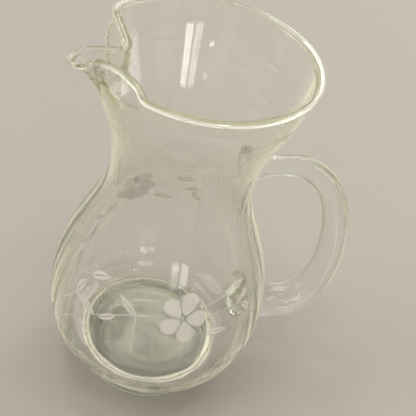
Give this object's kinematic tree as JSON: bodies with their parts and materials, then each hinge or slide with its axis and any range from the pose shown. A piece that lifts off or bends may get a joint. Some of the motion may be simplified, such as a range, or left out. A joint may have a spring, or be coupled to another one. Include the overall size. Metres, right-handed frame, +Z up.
{
  "type": "cocktail pitcher",
  "caption": "Clear blown-glass pitcher with a round belly, narrow neck, flared mouth, pinched ice-lip spout, solid foot and solid loop handle.",
  "frame": {"origin": "centre of the flat stand ring under the foot, on the surface that the pitcher stands on", "axes": "+Z up along the body's axis, +X towards the handle, -X towards the spout"},
  "size_m": [0.1674, 0.1136, 0.202],
  "materials": {
    "blown_glass": "clear blown glass, fire polished, with a ground floral decoration",
    "solid_glass": "clear solid glass, fire polished"
  },
  "bodies": {
    "root": {"body": "blown_glass", "foot": "solid_glass", "handle": "solid_glass"}
  },
  "joints": []
}
